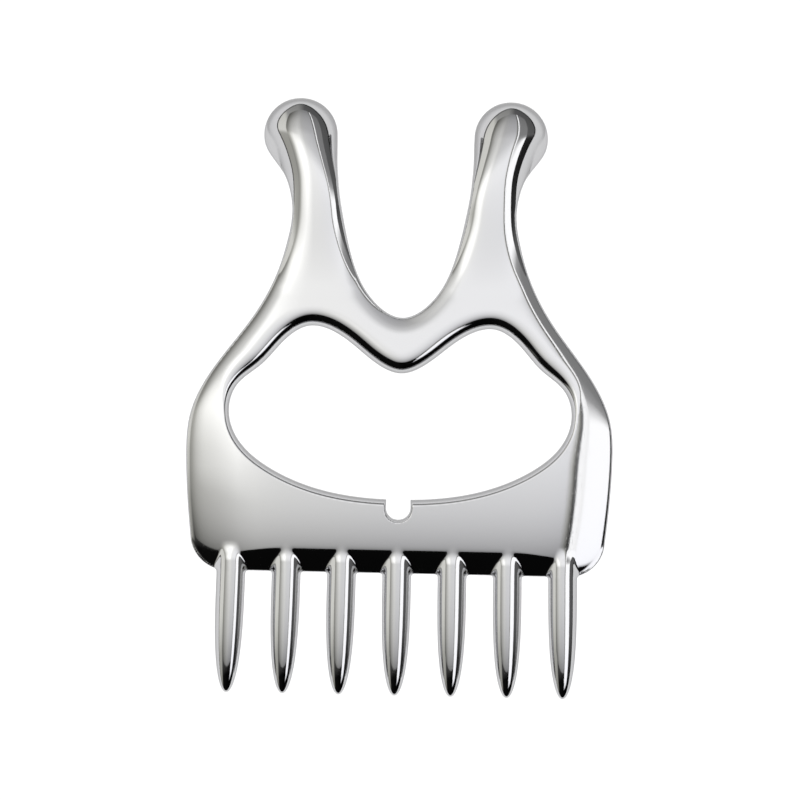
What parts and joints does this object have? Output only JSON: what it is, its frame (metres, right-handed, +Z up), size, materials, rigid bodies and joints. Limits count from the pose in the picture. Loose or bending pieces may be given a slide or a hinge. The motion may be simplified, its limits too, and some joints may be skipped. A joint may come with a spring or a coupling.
{
  "type": "wide-tooth metal comb",
  "caption": "Polished metal comb with a row of round tapered teeth, a finger opening and ball-ended horns, lying flat.",
  "frame": {"origin": "centre of the footprint on the surface the comb lies on", "axes": "+Z up, away from the surface; +Y from the teeth to the horns; +X to the right seen from above with the horns up"},
  "size_m": [0.085, 0.1186, 0.0146],
  "materials": {
    "polished_metal": "mirror-polished bare or chromed metal with faint hairline handling marks"
  },
  "bodies": {
    "root": {"tooth_bar": "polished_metal", "horn_bridge": "polished_metal", "left_arm": "polished_metal", "right_arm": "polished_metal", "left_horn": "polished_metal", "right_horn": "polished_metal", "left_ball": "polished_metal", "right_ball": "polished_metal", "tooth_1": "polished_metal", "tooth_2": "polished_metal", "tooth_3": "polished_metal", "tooth_4": "polished_metal", "tooth_5": "polished_metal", "tooth_6": "polished_metal", "tooth_7": "polished_metal"}
  },
  "joints": []
}
